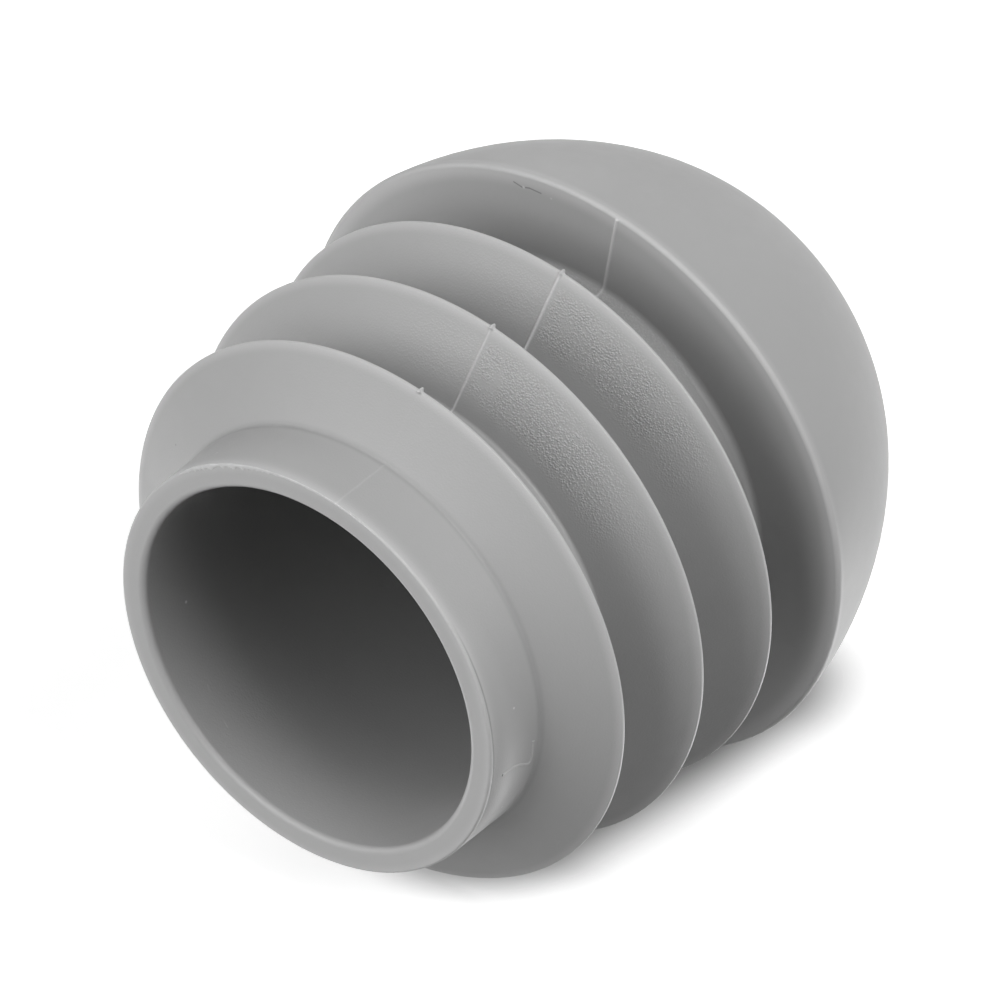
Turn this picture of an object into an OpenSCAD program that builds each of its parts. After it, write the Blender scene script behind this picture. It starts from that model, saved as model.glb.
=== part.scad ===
// Ball head plug for a round tube, moulded in one piece from soft polyethylene.
// The stem stands on its open mouth, with the fins above it and the domed head on top.
// The whole plug is one section, turned round the Z axis.

/* [Head] */
// Widest diameter of the head, just above its shoulder
head_d = 30; // [26:0.5:36]
// Height of the head, from its shoulder to the top of the dome
head_h = 14.2; // [12:0.1:17]
// Angle from the axis at which the crown passes into the side of the dome
crown_angle = 52; // [40:1:65]
// Angle that the side of the dome leans in at the shoulder
side_lean = 10; // [4:1:18]
// Rounding of the head's edge at the shoulder
edge_r = 0.3; // [0.1:0.05:0.8]

/* [Stem] */
// Outer diameter of the stem at its mouth
stem_d = 20.66; // [20:0.1:23]
// Length of the stem, from its mouth to the shoulder
stem_l = 19; // [17:0.5:26]
// Taper of the stem for the mould, wider towards the head, in degrees
stem_draft = 0.5; // [0:0.1:1.5]
// Fillet between the stem and the shoulder
root_r = 0.35; // [0.1:0.05:0.8]
// Rounding of the mouth's outer edge
rim_r = 0.12; // [0.05:0.01:0.25]

/* [Fins] */
// Number of fins round the stem
fin_count = 3; // [1:1:3]
// Diameter of the fins behind the first one
fin_d = 28.3; // [25:0.1:30]
// Diameter of the first fin, which leads into the tube
lead_fin_d = 27.2; // [24:0.1:29]
// Distance from the mouth to the back edge of the first fin's rim
fin_z = 5.35; // [4:0.05:6.5]
// Distance from one fin to the next
fin_pitch = 4.95; // [3.5:0.05:5.5]
// Angle that a fin's front face leans back from a flat disc
fin_lead = 26.5; // [15:0.5:35]
// Angle that a fin's back face leans, so that the fin thins towards its rim
fin_back = 5; // [0:0.5:10]
// Width of the round land on a fin's rim
fin_land = 0.15; // [0.05:0.01:0.4]
// Rounding between a fin's front face and its land
fin_nose_r = 0.15; // [0.05:0.01:0.4]

/* [Bore] */
// Diameter of the bore at the mouth
bore_d = 18.2; // [15:0.1:19]
// Taper of the bore for the core pin, narrower towards the head, in degrees
bore_draft = 0.5; // [0:0.1:1.5]
// Rounding of the mouth's inner edge
lip_r = 0.3; // [0.1:0.05:0.4]
// Thickness of the dome over the end of the bore
crown_wall = 3; // [2:0.1:8]

/* [Hidden] */
$fn = 128;

plastic = [0.66, 0.66, 0.66];
overshoot = 1;
plug_h = stem_l + head_h;
bore_depth = plug_h - crown_wall;

// Point on the circle of radius r round c, in the direction a
function on_circle(c, r, a) = c + r * [cos(a), sin(a)];

// Radius of the drafted stem, and of the drafted bore, at a height z
function stem_r(z) = stem_d / 2 + z * tan(stem_draft);
function bore_r(z) = bore_d / 2 - z * tan(bore_draft);

// Slice of a circle between two directions, reaching a little below the arc's chord.
// Added to an outline over that chord it rounds a corner, and taken away it hollows one
module arc_slice(c, r, a1, a2) {
    half = (a2 - a1) / 2;
    inner_r = r - r * (1 - cos(half)) / 2;
    outer_r = 2 * r;
    intersection() {
        translate(c) circle(r);
        polygon([
            on_circle(c, inner_r, a1), on_circle(c, outer_r, a1),
            on_circle(c, outer_r / cos(half), a1 + half),
            on_circle(c, outer_r, a2), on_circle(c, inner_r, a2)
        ]);
    }
}

// Half section of the head: a crown arc on the axis, and a longer side arc that
// touches it and runs down to the rounded edge of the shoulder
module head_section() {
    join_a = 90 - crown_angle;
    edge_c = [head_d / 2 - edge_r, stem_l + edge_r];
    side_end = on_circle(edge_c, edge_r, side_lean);
    // The two radii follow from the width and the height that the arcs span together
    span_r = side_end.x;
    span_z = plug_h - side_end.y;
    crown_dr = cos(join_a);
    crown_dz = 1 - sin(join_a);
    side_dr = cos(side_lean) - cos(join_a);
    side_dz = sin(join_a) - sin(side_lean);
    det = crown_dr * side_dz - side_dr * crown_dz;
    crown_r = (span_r * side_dz - span_z * side_dr) / det;
    side_r = (crown_dr * span_z - crown_dz * span_r) / det;
    crown_c = [0, plug_h - crown_r];
    side_c = on_circle(crown_c, crown_r - side_r, join_a);
    polygon([
        [0, stem_l], on_circle(edge_c, edge_r, -90), side_end,
        on_circle(crown_c, crown_r, join_a), [0, plug_h]
    ]);
    arc_slice(edge_c, edge_r, -90, side_lean);
    arc_slice(side_c, side_r, side_lean, join_a);
    arc_slice(crown_c, crown_r, join_a, 90);
}

// Half section of the stem, filled to the axis, with its fillet under the shoulder
module stem_section() {
    rim_c = [stem_r(rim_r) - rim_r / cos(stem_draft), rim_r];
    root_c = [stem_r(stem_l - root_r) + root_r / cos(stem_draft), stem_l - root_r];
    difference() {
        polygon([
            [0, 0], on_circle(rim_c, rim_r, -90), on_circle(rim_c, rim_r, -stem_draft),
            on_circle(root_c, root_r, 180 - stem_draft), on_circle(root_c, root_r, 90),
            [root_c.x, stem_l + edge_r], [0, stem_l + edge_r]
        ]);
        arc_slice(root_c, root_r, 90, 180 - stem_draft);
    }
    arc_slice(rim_c, rim_r, -90, -stem_draft);
}

// Half section of one fin: a conical front, a nosed rim and a thinning back
module fin_section(d, z) {
    r = d / 2;
    foot_r = bore_d / 2 + (stem_d - bore_d) / 4;
    nose_c = [r - fin_nose_r, z - fin_land];
    front = on_circle(nose_c, fin_nose_r, fin_lead - 90);
    polygon([
        [foot_r, front.y - (front.x - foot_r) * tan(fin_lead)],
        front, [r, nose_c.y], [r, z],
        [foot_r, z + (r - foot_r) * tan(fin_back)]
    ]);
    arc_slice(nose_c, fin_nose_r, fin_lead - 90, 0);
}

// Half section of the blind bore: a drafted wall, a round end and a soft mouth
module bore_section() {
    end_r = bore_r(bore_depth) / (1 / cos(bore_draft) - tan(bore_draft));
    end_c = [0, bore_depth - end_r];
    lip_c = [bore_r(lip_r) + lip_r / cos(bore_draft), lip_r];
    difference() {
        polygon([
            [0, -overshoot], [lip_c.x, -overshoot], [lip_c.x, 0],
            on_circle(lip_c, lip_r, 180 + bore_draft),
            on_circle(end_c, end_r, bore_draft), [0, bore_depth]
        ]);
        arc_slice(lip_c, lip_r, 180 + bore_draft, 270);
    }
    arc_slice(end_c, end_r, bore_draft, 90);
}

module plug() {
    color(plastic)
        rotate_extrude()
            difference() {
                union() {
                    head_section();
                    stem_section();
                    for (i = [0 : fin_count - 1])
                        fin_section(i == 0 ? lead_fin_d : fin_d, fin_z + i * fin_pitch);
                }
                bore_section();
            }
}

plug();
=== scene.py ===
import math

import bpy
from mathutils import Matrix, Vector


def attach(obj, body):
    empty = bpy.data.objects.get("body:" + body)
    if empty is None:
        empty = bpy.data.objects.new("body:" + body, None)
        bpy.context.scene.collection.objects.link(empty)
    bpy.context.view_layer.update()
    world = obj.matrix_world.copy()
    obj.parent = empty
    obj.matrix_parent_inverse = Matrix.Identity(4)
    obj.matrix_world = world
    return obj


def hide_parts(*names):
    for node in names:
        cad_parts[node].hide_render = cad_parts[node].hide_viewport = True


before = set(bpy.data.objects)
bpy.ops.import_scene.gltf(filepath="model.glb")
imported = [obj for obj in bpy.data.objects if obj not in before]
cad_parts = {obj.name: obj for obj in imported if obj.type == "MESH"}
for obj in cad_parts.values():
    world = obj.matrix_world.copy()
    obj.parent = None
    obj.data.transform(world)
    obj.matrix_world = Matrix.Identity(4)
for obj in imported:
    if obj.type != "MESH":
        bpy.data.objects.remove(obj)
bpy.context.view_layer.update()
MM = 0.001


# Camera
# It looks into the open mouth from 0.67 m away through a long lens. As the plug's own
# axis goes it stands below the mouth, and it is rolled so that the head leans right.

CAMERA_PLACE = Vector((472.57, 250.67, -407.71))
SIGHT = Vector((-0.693105, -0.368527, 0.619508))
PICTURE_UP = Vector((0.707800, -0.510633, 0.488129))
FILM_WIDTH = 36
LENS_LENGTH = 552.1

camera = bpy.data.objects.new("camera", bpy.data.cameras.new("camera"))
bpy.context.scene.collection.objects.link(camera)
bpy.context.scene.camera = camera
camera.data.sensor_width = FILM_WIDTH
camera.data.lens = LENS_LENGTH
picture_right = SIGHT.cross(PICTURE_UP)
camera.matrix_world = Matrix((picture_right, PICTURE_UP, -SIGHT)).transposed().to_4x4()
camera.location = CAMERA_PLACE * MM


# The plug
# One moulding in soft grey polyethylene: a hollow drafted stem with saw-tooth fins, and
# a domed head. Its half section runs from the bore's end, round the mouth and the fins,
# up to the top of the dome, and Geometry Nodes turn it round the axis.

# The head, in mm and degrees: its side leans in, and passes into the crown at CROWN_FROM
HEAD_R = 15.0
SHOULDER_Z = 19.0
TOP_Z = 33.2
EDGE_R = 0.22
SIDE_LEAN = 10
CROWN_FROM = 38
# The stem and the bore. The mouth's face lies a hair above the tips of its flash
STEM_R = 10.33
NECK_FILLET_R = 0.35
MOUTH_Z = 0.02
MOUTH_EDGE_R = 0.12
BORE_R = 9.1
BORE_LIP_R = 0.3
BORE_TOP_Z = TOP_Z - 3
BORE_END_R = 8.914
DRAFT_ANGLE = 0.5
DRAFT = math.tan(math.radians(DRAFT_ANGLE))
# The fins, each with the radius and the height of its rim's back edge. Were the rim
# sharp, the front cone would meet it CONE_DROP below that edge
FIN_RIMS = [(13.6, 5.35), (14.15, 10.3), (14.15, 15.25)]
FIN_LAND = 0.08
FIN_NOSE_R = 0.05
FIN_BACK_R = 0.03
FIN_FILLET_R = 0.2
FIN_LEAD = math.tan(math.radians(26.5))
FIN_BACK = math.tan(math.radians(5))
CONE_DROP = 0.243
# The step that the mould's ring left beside the mouth, and the azimuths where it shows
STEP_Z = 0.22
STEP_HALF = 0.03
STEP_DEPTH = 0.035
STEP_TURNS = (38, 58, 96, 118)
# Rows of points that keep a flat straight beside a rounding, and the widest gap of rows
HOLD = 0.03
FLAT_ROW = 0.16
WIDEST_GAP = 1.7


def way(angle):
    """A direction in the section, in degrees from straight outwards."""
    return Vector((math.cos(math.radians(angle)), math.sin(math.radians(angle))))


def arc(centre, radius, start, end, steps):
    """Points on an arc of the section, from one direction to another."""
    angles = [start + (end - start) * i / steps for i in range(steps + 1)]
    return [Vector(centre) + way(angle) * radius for angle in angles]


def stem_at(z):
    return Vector((STEM_R + z * DRAFT, z))


def bore_at(z):
    return Vector((BORE_R - z * DRAFT, z))


def fin(rim_r, rim_z):
    """Corners of the section along a fin, each with its rounding and the steps of that."""
    root_z = (rim_z - CONE_DROP - (rim_r - STEM_R) * FIN_LEAD) / (1 - DRAFT * FIN_LEAD)
    back_z = rim_z + (rim_r - stem_at(rim_z).x) * FIN_BACK
    root, back = stem_at(root_z), stem_at(back_z)
    nose, rim = [Vector((rim_r, z)) for z in (rim_z - FIN_LAND - FIN_NOSE_R, rim_z)]
    return [
        (root, FIN_FILLET_R, 4),
        (nose + (root - nose).normalized() * FLAT_ROW, 0, 0),
        (nose, FIN_NOSE_R, 4),
        (rim, FIN_BACK_R, 3),
        (rim + (back - rim).normalized() * FLAT_ROW, 0, 0),
        (back, FIN_FILLET_R, 4),
    ]


def rounded(before, corner, after, radius, steps):
    """Points that round a corner, and one more on each side that keeps the flat straight."""
    ways = [(end - corner).normalized() for end in (before, after)]
    half = ways[0].angle(ways[1]) / 2
    reach = radius / math.tan(half)
    centre = corner + (ways[0] + ways[1]).normalized() * radius / math.sin(half)
    start, end = [(corner + side * reach - centre).normalized() for side in ways]
    bend = [centre + start.slerp(end, i / steps) * radius for i in range(steps + 1)]
    return [corner + ways[0] * (reach + HOLD), *bend, corner + ways[1] * (reach + HOLD)]


def outside():
    """The section from the bore's lip, round the mouth and along the fins, to the shoulder."""
    corners = [(bore_at(10), 0, 0)]
    corners += [(bore_at(MOUTH_Z), BORE_LIP_R, 5), (stem_at(MOUTH_Z), MOUTH_EDGE_R, 5)]
    corners += [(stem_at(STEP_Z + away), 0, 0) for away in (-STEP_HALF, 0, STEP_HALF)]
    for rim in FIN_RIMS:
        corners += fin(*rim)
    corners += [(stem_at(SHOULDER_Z), NECK_FILLET_R, 5), (Vector((HEAD_R, SHOULDER_Z)), 0, 0)]
    points = []
    for (before, _, _), (corner, radius, steps), (after, _, _) in zip(corners, corners[1:], corners[2:]):
        points += rounded(before, corner, after, radius, steps) if radius else [corner]
    return points


def head():
    """The section from the shoulder's edge up over the side and the crown of the dome."""
    edge = arc((HEAD_R - EDGE_R, SHOULDER_Z + EDGE_R), EDGE_R, -90, SIDE_LEAN, 8)
    # The two radii follow from the width and the height that the arcs span together.
    side, crown = way(SIDE_LEAN), way(CROWN_FROM)
    spans = Matrix(((crown.x, side.x - crown.x), (1 - crown.y, crown.y - side.y)))
    crown_r, side_r = spans.inverted() @ Vector((edge[-1].x, TOP_Z - edge[-1].y))
    crown_c = Vector((0, TOP_Z - crown_r))
    side_c = crown_c + crown * (crown_r - side_r)
    side_arc = arc(side_c, side_r, SIDE_LEAN, CROWN_FROM, 12)
    crown_arc = arc(crown_c, crown_r, CROWN_FROM, 90, 20)
    return [edge[0] - Vector((HOLD, 0)), *edge, *side_arc[1:], *crown_arc[1:]]


def filled(points):
    """The same points, with more of them along each long straight run."""
    out = [points[0]]
    for start, end in zip(points, points[1:]):
        steps = math.ceil((end - start).length / WIDEST_GAP)
        out += [start.lerp(end, i / steps) for i in range(1, steps + 1)]
    return out


# The mould's parting line on each stretch of the section: its height and half width in
# mm, and how white it is, partly the flash's own whitening and partly a painted highlight
# on the raised line. The collar runs from the mouth to the first fin's root
NO_LINE = (0, 0.05, 0)
COLLAR_LINE = (0.012, 0.05, 0.15)
COLLAR_TOP = 3.4
FIN_LINES = [(0.004, 0.05, 0.02), (0.045, 0.055, 0.75), (0.07, 0.07, 1.0)]
HEAD_LINE = (0.06, 0.07, 0.85)
NIB = (0.16, 0.085, 0.5)
# A nib covers NIB_HEIGHT of a fin's rim and NIB_REACH beyond it, and a fin's stretch
# ends FIN_END above its rim. HAIR tells a row of points from its neighbours
NIB_HEIGHT = 0.2
NIB_REACH = 0.045
FIN_END = 0.4
HAIR = 0.02
# The fins bend a little out of true between these radii, and below this height
FREE_RADII = (STEM_R + 0.3, HEAD_R - 0.5)
FREE_BELOW = SHOULDER_Z - 1


def parting_line(r, z):
    """The parting line at a point of the section. Where it crosses a fin's rim it has a nib."""
    if z > SHOULDER_Z + HAIR / 2 or r < STEM_R - HAIR:
        return NO_LINE
    if z < COLLAR_TOP:
        return COLLAR_LINE
    for (rim_r, rim_z), line in zip(FIN_RIMS, FIN_LINES):
        if abs(r - rim_r) + max(0, rim_z - NIB_HEIGHT - z, z - rim_z) < NIB_REACH:
            return NIB
        if z < rim_z + FIN_END:
            return line
    return HEAD_LINE


def step_depth(r, z):
    """Depth in mm of the step beside the mouth."""
    return STEP_DEPTH if r > STEM_R - HAIR and abs(z - STEP_Z) < HAIR / 2 else 0


def is_free(r, z):
    """Tells a point on the fins from one on the stem or the head."""
    return FREE_RADII[0] < r < FREE_RADII[1] and z < FREE_BELOW


class Tree:
    """A node tree being written. put() adds a node and gives its output back."""

    def __init__(self, tree):
        self.tree = tree

    def feed(self, socket, value):
        """Links a signal, or a list of them, to a socket, or sets the socket to a constant."""
        for part in value if isinstance(value, list) else [value]:
            if isinstance(part, Signal):
                self.tree.links.new(part.socket, socket)
            else:
                socket.default_value = part

    def put(self, kind, inputs=None, out=0, **settings):
        node = self.tree.nodes.new(kind)
        for name, value in settings.items():
            setattr(node, name, value)
        for name, value in (inputs or {}).items():
            self.feed(node.inputs[name], value)
        return Signal(self, node.outputs[out]) if node.outputs else None

    def math(self, operation, *values):
        return self.put("ShaderNodeMath", dict(enumerate(values)), operation=operation)

    def vector(self, operation, *values):
        return self.put("ShaderNodeVectorMath", dict(enumerate(values)), operation=operation)

    def number(self, operation, *vectors):
        """A sum on vectors that gives a number, such as a distance."""
        inputs = dict(enumerate(vectors))
        return self.put("ShaderNodeVectorMath", inputs, out="Value", operation=operation)

    def scaled(self, vector, factor):
        return self.put("ShaderNodeVectorMath", {0: vector, "Scale": factor}, operation="SCALE")

    def parts(self, vector):
        """The three coordinates of a vector."""
        first = self.put("ShaderNodeSeparateXYZ", {0: vector})
        return [Signal(self, output) for output in first.socket.node.outputs]

    def round_axis(self, radius, turn, up):
        """A point from its radius, its turn round the plug's axis and its height."""
        return self.put("ShaderNodeCombineXYZ", {
            "X": radius * self.math("COSINE", turn),
            "Y": radius * self.math("SINE", turn),
            "Z": up,
        })

    def mix(self, mask, colour, other):
        """One colour where the mask is 0, and the other where it is 1."""
        # The node has sockets of the same names for numbers, so colours go by place.
        sides = {0: mask, 6: colour, 7: other}
        return self.put("ShaderNodeMix", sides, out=2, data_type="RGBA")

    def band(self, value, low, high, at_low=0.0, at_high=1.0):
        """Passes smoothly from one number to another between two values of a signal."""
        steps = {"Value": value, "From Min": low, "From Max": high, "To Min": at_low, "To Max": at_high}
        return self.put("ShaderNodeMapRange", steps, interpolation_type="SMOOTHSTEP")

    def between(self, value, start, full, last_full, end):
        """A mask that rises from start to full, stays, and falls from last_full to end."""
        return self.band(value, start, full) * self.band(value, end, last_full)

    def bump(self, value, centre, spread):
        """A round hump over one value of a signal."""
        return self.math("EXPONENT", ((value - centre) / spread) ** 2 * -1)

    def named(self, label):
        return self.put("GeometryNodeInputNamedAttribute", {"Name": label})

    def stored(self, geometry, label, value):
        """The geometry with a number at each point under a label."""
        inputs = {"Geometry": geometry, "Name": label, "Value": value}
        return self.put("GeometryNodeStoreNamedAttribute", inputs, data_type="FLOAT", domain="POINT")


class Signal:
    """An output in a node tree. Sums and products of signals add their Math nodes."""

    def __init__(self, tree, socket):
        self.tree = tree
        self.socket = socket

    def __add__(self, other):
        return self.tree.math("ADD", self, other)

    def __sub__(self, other):
        return self.tree.math("SUBTRACT", self, other)

    def __rsub__(self, other):
        return self.tree.math("SUBTRACT", other, self)

    def __mul__(self, other):
        return self.tree.math("MULTIPLY", self, other)

    def __truediv__(self, other):
        return self.tree.math("DIVIDE", self, other)

    def __rtruediv__(self, other):
        return self.tree.math("DIVIDE", other, self)

    def __mod__(self, other):
        return self.tree.math("MODULO", self, other)

    def __rmod__(self, other):
        return self.tree.math("MODULO", other, self)

    def __pow__(self, other):
        return self.tree.math("POWER", self, other)

    def __rpow__(self, other):
        return self.tree.math("POWER", other, self)

    __radd__ = __add__
    __rmul__ = __mul__


def geometry_tree(name, inputs):
    """A Geometry Nodes group with named inputs, and the signals that they give."""
    group = bpy.data.node_groups.new(name, "GeometryNodeTree")
    group.interface.new_socket("Geometry", in_out="OUTPUT", socket_type="NodeSocketGeometry")
    for label, kind in inputs.items():
        group.interface.new_socket(label, in_out="INPUT", socket_type="NodeSocket" + kind)
    tree = Tree(group)
    source = group.nodes.new("NodeGroupInput")
    return tree, {label: Signal(tree, source.outputs[label]) for label in inputs}


def finished(tree, geometry, material):
    """Ends a Geometry Nodes group with smooth faces, real geometry and its material."""
    smooth = tree.put("GeometryNodeSetShadeSmooth", {"Geometry": geometry})
    real = tree.put("GeometryNodeRealizeInstances", {"Geometry": smooth})
    dressed = tree.put("GeometryNodeSetMaterial", {"Geometry": real, "Material": material})
    tree.put("NodeGroupOutput", {"Geometry": dressed})
    return tree.tree


def made_plain(piece, group, values):
    """Runs a Geometry Nodes group on a piece, and leaves the result as a plain mesh."""
    modifier = piece.modifiers.new(group.name, "NODES")
    modifier.node_group = group
    for item in group.interface.items_tree:
        if item.in_out == "INPUT" and item.name in values:
            modifier[item.identifier] = values[item.name]
    bpy.context.view_layer.update()
    graph = bpy.context.evaluated_depsgraph_get()
    mesh = bpy.data.meshes.new_from_object(piece.evaluated_get(graph))
    # The grid that the skin is laid on starts with an empty material slot.
    if mesh.materials[0] is None:
        mesh.materials.pop(index=0)
    piece.modifiers.remove(modifier)
    piece.data = mesh
    return piece


def line_of(name, points, attributes):
    """A mesh of loose edges through some points, with a number of each kind at each point."""
    mesh = bpy.data.meshes.new(name)
    mesh.from_pydata(points, [(i, i + 1) for i in range(len(points) - 1)], [])
    for label, values in attributes.items():
        mesh.attributes.new(label, "FLOAT", "POINT").data.foreach_set("value", values)
    piece = bpy.data.objects.new(name, mesh)
    bpy.context.scene.collection.objects.link(piece)
    return piece


def turned_moulding():
    """A group that turns the section, raises its parting lines, and adds flash and crease."""
    tree, given = geometry_tree("turned moulding", {
        "Geometry": "Geometry",
        "Steps round": "Int",
        "Crowding": "Float",
        "Unevenness": "Float",
        "Flash": "Object",
        "Crease": "Object",
        "Material": "Material",
    })
    rows = tree.put("GeometryNodeAttributeDomainSize", {"Geometry": given["Geometry"]})
    grid = tree.put("GeometryNodeMeshGrid", {"Vertices X": given["Steps round"] + 1, "Vertices Y": rows})
    index = tree.put("GeometryNodeInputIndex")
    row = index % rows
    # The steps crowd together at the two parting lines, which lie in the plane y = 0.
    even_turn = (index - row) / rows / given["Steps round"] * math.tau
    turn = even_turn - tree.math("SINE", even_turn * 2) * given["Crowding"] / 2

    def of_row(value, kind="FLOAT"):
        """What a row of the turned skin takes over from its point of the section."""
        sample = {"Geometry": given["Geometry"], "Value": value, "Index": row}
        return tree.put("GeometryNodeSampleIndex", sample, data_type=kind)

    radius, _, up = tree.parts(of_row(tree.put("GeometryNodeInputPosition"), "FLOAT_VECTOR"))
    body = tree.put("GeometryNodeSetPosition", {
        "Geometry": grid, "Position": tree.round_axis(radius, turn, up),
    })
    for label in ("parting", "spread", "white", "step", "free"):
        body = tree.stored(body, label, of_row(tree.named(label)))
    # The seam and the two poles close.
    body = tree.put("GeometryNodeMergeByDistance", {"Geometry": body, "Distance": 1e-7})

    skin = tree.put("GeometryNodeInputPosition")
    east, north, _ = tree.parts(skin)
    azimuth = tree.math("ARCTAN2", north, east) * (180 / math.pi)
    ridge = tree.bump(north, 0, tree.named("spread"))
    wander = tree.put("ShaderNodeTexNoise", {
        "Vector": skin, "Scale": 160.0, "Detail": 2.0, "Roughness": 0.5,
    })
    rise = (
        ridge * tree.named("parting")
        - tree.between(azimuth, *STEP_TURNS) * tree.named("step")
        + (wander - 0.5) * tree.named("free") * given["Unevenness"]
    )
    body = tree.put("GeometryNodeSetPosition", {
        "Geometry": body, "Offset": tree.scaled(tree.put("GeometryNodeInputNormal"), rise),
    })
    # The raised lines take the lighter tone: partly the plastic's own whitening, partly painted
    # highlight.
    body = tree.stored(body, "whitened", ridge * tree.named("white"))
    added = [
        tree.put("GeometryNodeObjectInfo", {"Object": given[part]}, out="Geometry")
        for part in ("Crease", "Flash")
    ]
    joined = tree.put("GeometryNodeJoinGeometry", {"Geometry": [*added, body]})
    return finished(tree, joined, given["Material"])


# The plastic is made up in its own section below.
plastic = bpy.data.materials.new("grey polyethylene")
bore_end = arc((0, BORE_TOP_Z - BORE_END_R), BORE_END_R, 90, DRAFT_ANGLE, 10)
section = filled(bore_end + outside() + head())
parting = [parting_line(p.x, p.y) for p in section]
plug = line_of("moulding", [Vector((p.x, 0, p.y)) * MM for p in section], {
    "parting": [height * MM for height, _, _ in parting],
    "spread": [width * MM for _, width, _ in parting],
    "white": [whiteness for _, _, whiteness in parting],
    "step": [step_depth(p.x, p.y) * MM for p in section],
    "free": [float(is_free(p.x, p.y)) for p in section],
})


# Flash at the mouth
# The thin ragged skin that the mould's ring left round part of the mouth's outer edge. It
# is lighter all along and most where it was torn: partly its own whitening, partly painted
# light for the thin skin letting light through. It is one with the moulding.

# It is a flattened tube. Its ends rise and fall over these shares of its length, and
# between them it keeps a least share of its width, so that no two points merge
FLASH_SIDES = 8
FLASH_ENDS = (0, 0.12, 0.7, 1)
FLASH_LEAST = 0.02
# Azimuths over which it gets heavier, and of its one nib. It is torn where the noise is high
HEAVY_TURNS = (-16, -28)
FLASH_NIB = -29.5
FLASH_NIB_WIDTH = 0.4
TORN_RAGS = (0.44, 0.62)


def ragged_flash():
    """A group that lays the tube along the mouth, with ragged sides and thin ends."""
    tree, given = geometry_tree("ragged flash", {
        "Steps": "Int",
        "From": "Float",
        "To": "Float",
        "Rim radius": "Float",
        "Outward": "Float",
        "Inward": "Float",
        "Height": "Float",
        "Sink": "Float",
        "Rags per degree": "Float",
        "Seed": "Float",
        "Material": "Material",
    })
    rows = FLASH_SIDES + 1
    grid = tree.put("GeometryNodeMeshGrid", {"Vertices X": given["Steps"] + 1, "Vertices Y": rows})
    index = tree.put("GeometryNodeInputIndex")
    row = index % rows
    along = (index - row) / rows / given["Steps"]
    azimuth = given["From"] + (given["To"] - given["From"]) * along
    turn = azimuth * (math.pi / 180)
    rags = tree.put("ShaderNodeTexNoise", {
        "W": azimuth * given["Rags per degree"] + given["Seed"],
        "Scale": 1.0, "Detail": 2.5, "Roughness": 0.5,
    }, noise_dimensions="1D")
    torn = tree.band(rags, *TORN_RAGS)
    heavy = tree.band(azimuth, *HEAVY_TURNS)
    nib = tree.bump(azimuth, FLASH_NIB, FLASH_NIB_WIDTH)
    # Each reach is its widest times shares for what is everywhere, heavy, torn and the nib.
    inward = given["Inward"] * (0.3 + heavy * 0.15 + torn * (0.15 + heavy * 0.4) + nib * 0.6)
    outward = given["Outward"] * (0.35 + heavy * 0.35 + (rags - 0.5) * 0.8)
    open_part = tree.math("GREATER_THAN", along, 1e-6) * tree.math("LESS_THAN", along, 1 - 1e-6)
    full = tree.between(along, *FLASH_ENDS) * (1 - FLASH_LEAST) + open_part * FLASH_LEAST
    roundabout = row * (math.tau / FLASH_SIDES)
    middle = given["Rim radius"] + (outward - inward) / 2 * full - given["Sink"] * (1 - full)
    radius = middle + (inward + outward) / 2 * full * tree.math("COSINE", roundabout)
    lift = given["Height"] * (1.6 - full * 0.6)
    up = lift + given["Height"] * full * tree.math("SINE", roundabout)
    ribbon = tree.put("GeometryNodeSetPosition", {
        "Geometry": grid, "Position": tree.round_axis(radius, turn, up),
    })
    ribbon = tree.put("GeometryNodeMergeByDistance", {"Geometry": ribbon, "Distance": 2e-8})
    # The flash takes the lighter tone, most where torn: partly its own whitening, partly painted light.
    return finished(tree, tree.stored(ribbon, "whitened", 0.75 + torn * 0.25), given["Material"])


flash = made_plain(line_of("flash", [Vector(), Vector((MM, 0, 0))], {}), ragged_flash(), {
    "Steps": 900,
    "From": -56.0,
    "To": 22.0,
    "Rim radius": (STEM_R - 0.03) * MM,
    "Outward": 0.12 * MM,
    "Inward": 0.22 * MM,
    "Height": 0.03 * MM,
    "Sink": 0.06 * MM,
    "Rags per degree": 0.4,
    "Seed": 3.7,
    "Material": plastic,
})


# Crease on the collar
# A fine raised fold in the skin below the mouth, bent to a sharp corner. It is one with
# the moulding too.

# Azimuths in degrees and heights in mm along the fold
CREASE = [
    (87.85, 0.95), (87.75, 1.34), (88.17, 1.78), (89.19, 2.20), (90.79, 2.65), (91.69, 2.94),
    (90.90, 3.08), (89.17, 3.08), (84.28, 3.04),
]
CREASE_R = 0.1
CREASE_SUNK = 0.06


def at(azimuth, r, z):
    """A point of the moulding in metres, from its azimuth in degrees, radius and height in mm."""
    turn = math.radians(azimuth)
    return Vector((r * math.cos(turn), r * math.sin(turn), z)) * MM


def raised_crease():
    """A group that makes a round bead along a line, as thick at each point as its size says."""
    tree, given = geometry_tree("raised crease", {
        "Geometry": "Geometry",
        "Thickness": "Float",
        "Material": "Material",
    })
    path = tree.put("GeometryNodeMeshToCurve", {"Mesh": given["Geometry"]})
    path = tree.put("GeometryNodeSetCurveRadius", {"Curve": path, "Radius": tree.named("size")})
    circle = tree.put("GeometryNodeCurvePrimitiveCircle", {
        "Resolution": 12, "Radius": given["Thickness"],
    })
    bead = tree.put("GeometryNodeCurveToMesh", {
        "Curve": path, "Profile Curve": circle, "Fill Caps": True,
    })
    # The bead takes a quarter of the lighter tone: partly the plastic's own whitening, partly painted
    # highlight along the fold.
    return finished(tree, tree.stored(bead, "whitened", 0.25), given["Material"])


# It thins towards both ends.
crease = line_of("crease", [at(a, stem_at(z).x - CREASE_SUNK, z) for a, z in CREASE], {
    "size": [min(1, 0.3 + 0.35 * min(i, len(CREASE) - 1 - i)) for i in range(len(CREASE))],
})
made_plain(crease, raised_crease(), {"Thickness": CREASE_R * MM, "Material": plastic})


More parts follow.
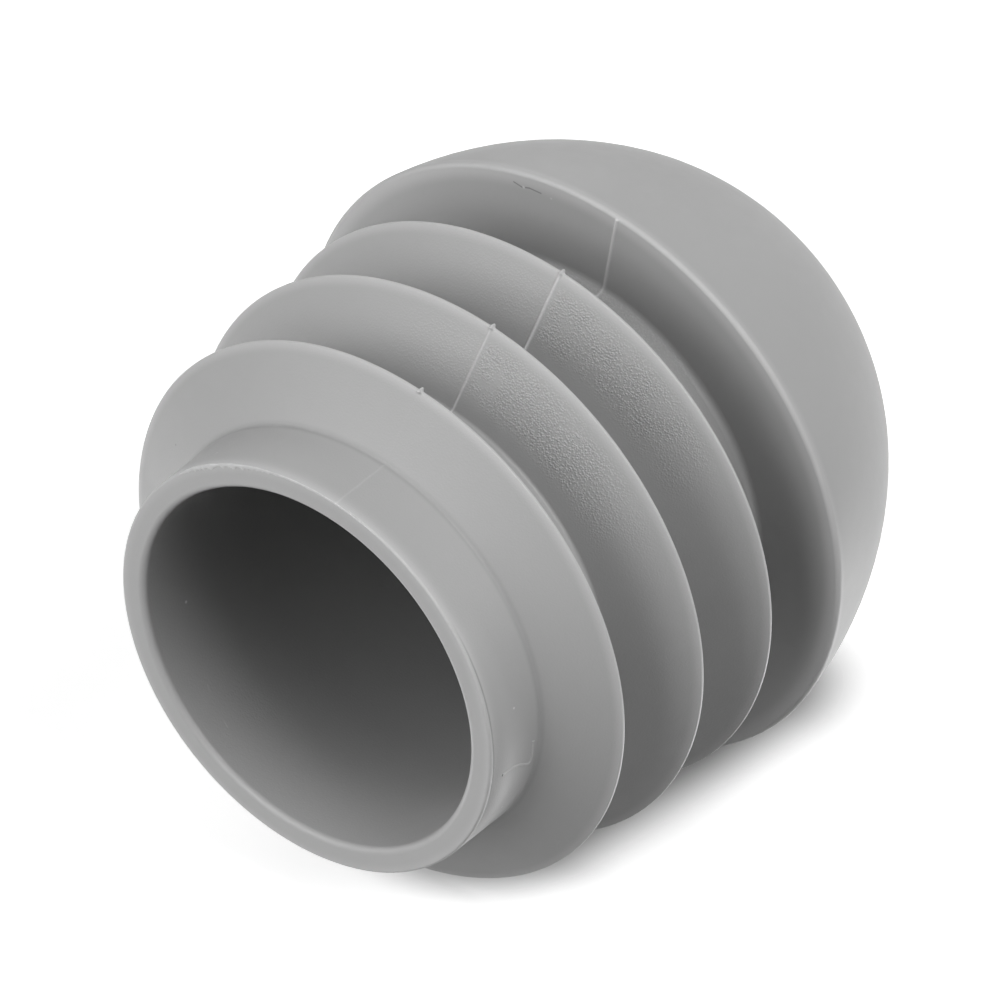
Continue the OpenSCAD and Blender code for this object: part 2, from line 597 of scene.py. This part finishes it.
# Grey polyethylene
# The moulding's plastic, coloured through and left as it came from the mould. It lets a
# little light through; the lighter thin rims and edges that this gives are painted into its
# colour as painted light, and painted shade darkens its fins' roots, the step and the bore.

# Tones of the skin and of its lighter marks, partly whitening and partly painted light,
# its gloss and how rough it is
SKIN = 0.40
SKIN_VARIES = 0.008
WHITENING_AND_LIGHT_TONE = 0.66
PLASTIC_IOR = 1.5
DULLNESS = 0.47
DULLNESS_VARIES = 0.12
BORE_GLOSSIER = 0.08
# Where the skin is grained, and where shade is painted at the step and in the fins' roots:
# heights and radii in mm, turns in degrees, each as the two ends of its rise and the two
# ends of its fall
GRAIN_HEIGHTS = (5.6, 6.4, 15.1, 15.5)
GRAIN_RADII = (10.8, 11.8, 13.2, 14)
GRAIN_TURNS = (0, 2, 25, 55)
FAINT_GRAIN_TURNS = (-30, 0, 0, 1)
NECK_HEIGHTS = (16.2, 17, 18.7, 19)
NECK_TURNS = (-45, -10, 15, 40)
STEP_SHADE_TURNS = (38, 58, 100, 125)
ROOT_SHADE_HEIGHTS = (4, 6, 18.9, 19.4)
# The same for masks that only rise, from the first number to the second
NECK_RADII = (10.9, 10.7)
ROOT_SHADE_RADII = (12.2, 10.5)
BORE_RADII = (9.5, 9.1)
BORE_HEIGHTS = (26, 23)
BORE_SHADE_HEIGHTS = (1.5, 8)
MOUTH_RADII = (9.3, 9.1)
MOUTH_HEIGHTS = (5, 0.1)
FACE_RADII = (9.1, 9.2)
FACE_HEIGHTS = (0.9, 0.1)
# The grain's beads and their patches, the shares of it left where it is faint and on the
# neck, and how far patches, single beads and fine noise stand out
BEADS_PER_MM = 9.5
BEAD_SLOPE = (0.7, 0.1)
PATCHES_PER_MM = 0.7
PATCH_SLOPE = (0.25, 0.55)
FAINT_GRAIN = 0.25
NECK_GRAIN = 0.7
PATCH_RELIEF = 0.42
SKIN_RELIEF = 0.03
FINE_RELIEF = 0.1
RELIEF_HEIGHT = 0.07
# Noise over the skin, in features per mm: of its fine relief, its tone and its roughness
FINE_PER_MM = 9.0
TONE_PER_MM = 0.25
DULL_PER_MM = 1.2
# Painted shade at the first fin's root and at the step, and painted light on edges, which
# stands in for light that the thin plastic lets through: radius, height and reach
FIRST_ROOT_SHADE = (STEM_R + 0.03, 3.47, 0.32)
STEP_SHADE_EDGE = (STEM_R, STEP_Z, 0.07)
MOUTH_EDGE = (STEM_R, 0, 0.55)
HEAD_EDGE = (HEAD_R - 0.25, SHOULDER_Z - 0.1, 0.75)
FIN_EDGE_REACH = 0.6
# Marks in the skin by azimuth, radius and height: two scratches with their widths, and
# specks with size and tone. A mark is full over the share of its width that is its core
UNDERSIDE_SCRATCH = [(-22.7, 14.4, 19), (-21.0, 14.23, 19), (-19.3, 14.29, 19), (-16.7, 14.21, 19)]
BORE_SCRATCH = [(-138.2, 9.08, 1.96), (-151.0, 9.09, 1.58)]
SCRATCH_WIDTHS = (0.06, 0.05)
SCRATCH_CORE = 0.3
SPECK_CORE = 0.4
SPECKS = [
    ((70.2, 10.35, 1.84), 0.08, 0.6),
    ((104.4, 10.35, 1.98), 0.07, 0.6),
    ((-44.2, 10.34, 1.24), 0.08, 0.5),
    ((-113.6, 9.07, 2.61), 0.1, 0.75),
    ((-20.6, 14.25, 19), 0.1, 0.55),
    ((-14.4, 14.13, 19), 0.08, 0.5),
    ((-25.2, 13.41, 9.69), 0.06, 0.5),
    ((-75.0, 11.65, 4.14), 0.08, 0.25),
]

plastic.use_nodes = True
shader = plastic.node_tree.nodes["Principled BSDF"]
look = Tree(plastic.node_tree)
look.feed(shader.inputs["IOR"], PLASTIC_IOR)
place = look.scaled(look.put("ShaderNodeTexCoord", out="Object"), 1 / MM)
x, y, z = look.parts(place)
r = look.math("SQRT", x * x + y * y)
azimuth = look.math("ARCTAN2", y, x) * (180 / math.pi)
outline = look.put("ShaderNodeCombineXYZ", {"X": r, "Z": z})


def noise(scale, detail=2.0, roughness=0.5):
    """Noise over the skin, with features of about 1 / scale mm."""
    inputs = {"Vector": place, "Scale": scale, "Detail": detail, "Roughness": roughness}
    return look.put("ShaderNodeTexNoise", inputs)


def grey(value):
    return (value, value, value, 1)


def speck(spot, size):
    """A mask for a round spot at one point of the skin."""
    away = look.number("DISTANCE", place, at(*spot) / MM)
    return look.band(away, size, size * SPECK_CORE)


def scratch(start, end, width):
    """A mask for a fine straight line from one point of the skin to another."""
    start, end = at(*start) / MM, at(*end) / MM
    from_start = look.vector("SUBTRACT", place, start)
    along = look.number("DOT_PRODUCT", from_start, (end - start) / (end - start).length_squared)
    along = look.math("MINIMUM", look.math("MAXIMUM", along, 0), 1)
    away = look.number("DISTANCE", from_start, look.scaled(end - start, along))
    return look.band(away, width, width * SCRATCH_CORE)


def near(r_edge, z_edge, reach):
    """A mask that fades with the distance in mm from an edge that runs round the moulding."""
    return look.band(look.number("DISTANCE", outline, (r_edge, 0, z_edge)), reach, 0)


# A beaded grain that rough patches of the mould left in the skin
beads = look.band(look.put("ShaderNodeTexVoronoi", {
    "Vector": place, "Scale": BEADS_PER_MM, "Randomness": 0.9,
}), *BEAD_SLOPE)
on_fins = look.between(z, *GRAIN_HEIGHTS) * look.between(r, *GRAIN_RADII)
coarse = look.between(azimuth, *GRAIN_TURNS) * look.band(noise(PATCHES_PER_MM), *PATCH_SLOPE)
on_neck = look.between(z, *NECK_HEIGHTS) * look.band(r, *NECK_RADII)
patch = (
    on_fins * (coarse + look.between(azimuth, *FAINT_GRAIN_TURNS) * FAINT_GRAIN)
    + on_neck * look.between(azimuth, *NECK_TURNS) * NECK_GRAIN
)

in_bore = look.band(r, *BORE_RADII) * look.band(z, *BORE_HEIGHTS)
painted_light_in_mouth = look.band(r, *MOUTH_RADII) * look.band(z, *MOUTH_HEIGHTS)
painted_light_on_face = look.band(r, *FACE_RADII) * look.band(z, *FACE_HEIGHTS)
# Painted light: thin rims and edges are made lighter in colour, standing in for light that the thin
# plastic lets through
thin = look.math("MAXIMUM", near(*MOUTH_EDGE), near(*HEAD_EDGE))
for rim in FIN_RIMS:
    thin = look.math("MAXIMUM", thin, near(*rim, FIN_EDGE_REACH))

# Tones laid over the skin one after the other, each where its mask says
tones = [
    # Painted shade: the fins' roots a little darker
    (SKIN - 0.01, look.band(r, *ROOT_SHADE_RADII) * look.between(z, *ROOT_SHADE_HEIGHTS)),
    # Painted shade in the crease at the first fin's root
    (SKIN - 0.09, near(*FIRST_ROOT_SHADE) * 0.8),
    # Painted shade: the bore darker the deeper in
    (SKIN - 0.15, in_bore * look.band(z, *BORE_SHADE_HEIGHTS)),
    # Painted light: the mouth's face and the bore's lip lighter
    (SKIN + 0.06, painted_light_in_mouth + painted_light_on_face),
    # Painted light on thin rims and edges
    (SKIN + 0.13, thin),
    # Painted shade along the step beside the mouth
    (SKIN - 0.08, near(*STEP_SHADE_EDGE) * look.between(azimuth, *STEP_SHADE_TURNS)),
    # The lighter tone of flash, parting lines and crease: partly whitening, partly painted light
    (WHITENING_AND_LIGHT_TONE, look.put("ShaderNodeAttribute", out="Fac", attribute_name="whitened")),
]
for start, end in zip(UNDERSIDE_SCRATCH, UNDERSIDE_SCRATCH[1:]):
    tones.append((SKIN - 0.15, scratch(start, end, SCRATCH_WIDTHS[0])))
tones.append((SKIN + 0.12, scratch(*BORE_SCRATCH, SCRATCH_WIDTHS[1])))
for spot, size, tone in SPECKS:
    tones.append((tone, speck(spot, size)))
# Painted highlight: the tops of the grain's beads lighter
tones.append((SKIN + 0.12, beads * patch * 0.6))
colour = look.mix(noise(TONE_PER_MM), grey(SKIN - SKIN_VARIES), grey(SKIN + SKIN_VARIES))
for tone, mask in tones:
    colour = look.mix(mask, colour, grey(tone))

grain = beads * (patch * PATCH_RELIEF + SKIN_RELIEF) + noise(FINE_PER_MM, 3.0, 0.6) * FINE_RELIEF
dullness = DULLNESS + (noise(DULL_PER_MM) - 0.5) * DULLNESS_VARIES - in_bore * BORE_GLOSSIER
look.feed(shader.inputs["Base Color"], colour)
look.feed(shader.inputs["Roughness"], dullness)
look.feed(shader.inputs["Normal"], look.put("ShaderNodeBump", {
    "Strength": 1.0, "Distance": RELIEF_HEIGHT * MM, "Height": grain,
}))

made_plain(plug, turned_moulding(), {
    "Steps round": 460,
    "Crowding": 0.88,
    "Unevenness": 0.03 * MM,
    "Flash": flash,
    "Crease": crease,
    "Material": plastic,
})
for part in (flash, crease):
    bpy.data.objects.remove(part)
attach(plug, "root")
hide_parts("plug")


# Ground
# A plain white surface. The plug lies on it on its head's edge and its second fin, so in
# the plug's own frame it is a steep plane. It is seen only from the side it faces.

GROUND_UP = Vector((0.965645, -0.242831, 0.092506))
GROUND_DEPTH = 13.15
GROUND_HALF = 400
GROUND_TONE = 0.82
GROUND_GLOW = 0.6
# The soft shade along the line on which the plug rests, in mm: where it starts, how long
# it is, and from where to where it clears. In its middle SHADE_LEFT of the white is left
SHADE_START = 5.3
SHADE_ASIDE = 1
SHADE_SLANT = 0.05
SHADE_LENGTH = 15
SHADE_BAND = (3.3, 8.1)
SHADE_LEFT = 0.12

ground = bpy.data.objects.new("ground", bpy.data.meshes.new("ground"))
bpy.context.scene.collection.objects.link(ground)
flat = GROUND_UP.to_track_quat("Z", "Y").to_matrix()
ground_corners = [
    flat @ Vector((x * GROUND_HALF, y * GROUND_HALF, 0)) - GROUND_UP * GROUND_DEPTH
    for x, y in ((-1, -1), (1, -1), (1, 1), (-1, 1))
]
ground.data.from_pydata([corner * MM for corner in ground_corners], [], [(0, 1, 2, 3)])

white = bpy.data.materials.new("white ground")
white.use_nodes = True
surface = white.node_tree.nodes["Principled BSDF"]
paper = Tree(white.node_tree)
# The shade runs under the plug, from the first fin's rim towards the head's edge.
down = Vector((-GROUND_UP.x, -GROUND_UP.y, 0)).normalized()
rims = (FIN_RIMS[0], (HEAD_R, SHOULDER_Z))
fin_foot, head_foot = [down * rim_r + Vector((0, 0, rim_z)) for rim_r, rim_z in rims]
resting = (head_foot - fin_foot).normalized()
aside = resting.cross(GROUND_UP).normalized()
shade_from = fin_foot + resting * SHADE_START + aside * SHADE_ASIDE
shade_way = (resting + aside * SHADE_SLANT).normalized()
from_start = paper.vector("SUBTRACT", paper.put("ShaderNodeTexCoord", out="Object"), shade_from * MM)
along = paper.number("DOT_PRODUCT", from_start, shade_way)
along = paper.math("MAXIMUM", paper.math("MINIMUM", along, SHADE_LENGTH * MM), 0)
away = paper.number("DISTANCE", from_start, paper.scaled(shade_way, along))
clear = paper.band(away / MM, *SHADE_BAND, SHADE_LEFT, 1)
clear_tone = paper.put("ShaderNodeCombineXYZ", {"X": clear, "Y": clear, "Z": clear})
paper.feed(surface.inputs["Base Color"], paper.scaled(clear_tone, GROUND_TONE))
paper.feed(surface.inputs["Specular IOR Level"], 0)
paper.feed(surface.inputs["Emission Color"], clear_tone)
paper.feed(surface.inputs["Emission Strength"], GROUND_GLOW)
paper.feed(surface.inputs["Alpha"], 1 - paper.put("ShaderNodeNewGeometry", out="Backfacing"))
ground.data.materials.append(white)
# It casts no shadow on the plug's underside, and gives it no soft light back.
ground.visible_shadow = False
ground.visible_diffuse = False


# Light
# Soft boxes round the plug, the strongest on the right above the camera, and a white
# surround that is only seen. The last three stand below the ground and light the side on
# which the plug lies.

# Bearing round the plug, from straight beyond it and on to the right, height above the
# ground, both in degrees, and power in watts
SOFT_BOXES = [
    (135, 43, 1.3), (216, 22, 0.62), (216, 3, 0.2), (252, 22, 0.54), (225, 45, 0.4),
    (108, 22, 0.34), (0, 28, 0.24), (240, 75, 0.2), (36, 22, 0.18), (72, 8, 0.15), (270, 5, 0.1),
    (0, -35, 0.9), (60, -45, 0.85), (300, -45, 0.55),
]
BOX_WIDTH = 300
BOX_DISTANCE = 500
PLUG_MIDDLE = Vector((0, 0, 17))


def seen_directly(tree):
    """Tells rays from the camera, or by way of gloss or glass, from the soft light between things."""
    rays = tree.tree.nodes.new("ShaderNodeLightPath").outputs
    camera_ray, glossy, through = [
        Signal(tree, rays[name]) for name in ("Is Camera Ray", "Is Glossy Ray", "Is Transmission Ray")
    ]
    return tree.math("MAXIMUM", tree.math("MAXIMUM", camera_ray, glossy), through)


world = bpy.data.worlds.new("surround")
bpy.context.scene.world = world
world.use_nodes = True
around = Tree(world.node_tree)
surround = around.mix(seen_directly(around), grey(0), grey(1))
around.feed(world.node_tree.nodes["Background"].inputs["Color"], surround)

beyond = GROUND_UP.cross(picture_right)
for number, (bearing, height, power) in enumerate(SOFT_BOXES):
    turn, rise = math.radians(bearing), math.radians(height)
    level = picture_right * math.sin(turn) + beyond * math.cos(turn)
    outwards = level * math.cos(rise) + GROUND_UP * math.sin(rise)
    box = bpy.data.objects.new(f"soft box {number}", bpy.data.lights.new("soft box", "AREA"))
    bpy.context.scene.collection.objects.link(box)
    box.data.shape = "DISK"
    box.data.size = BOX_WIDTH * MM
    box.data.energy = power
    box.location = (PLUG_MIDDLE + outwards * BOX_DISTANCE) * MM
    box.rotation_mode = "QUATERNION"
    box.rotation_quaternion = outwards.to_track_quat("Z", "Y")

bpy.context.scene.view_settings.view_transform = "Standard"
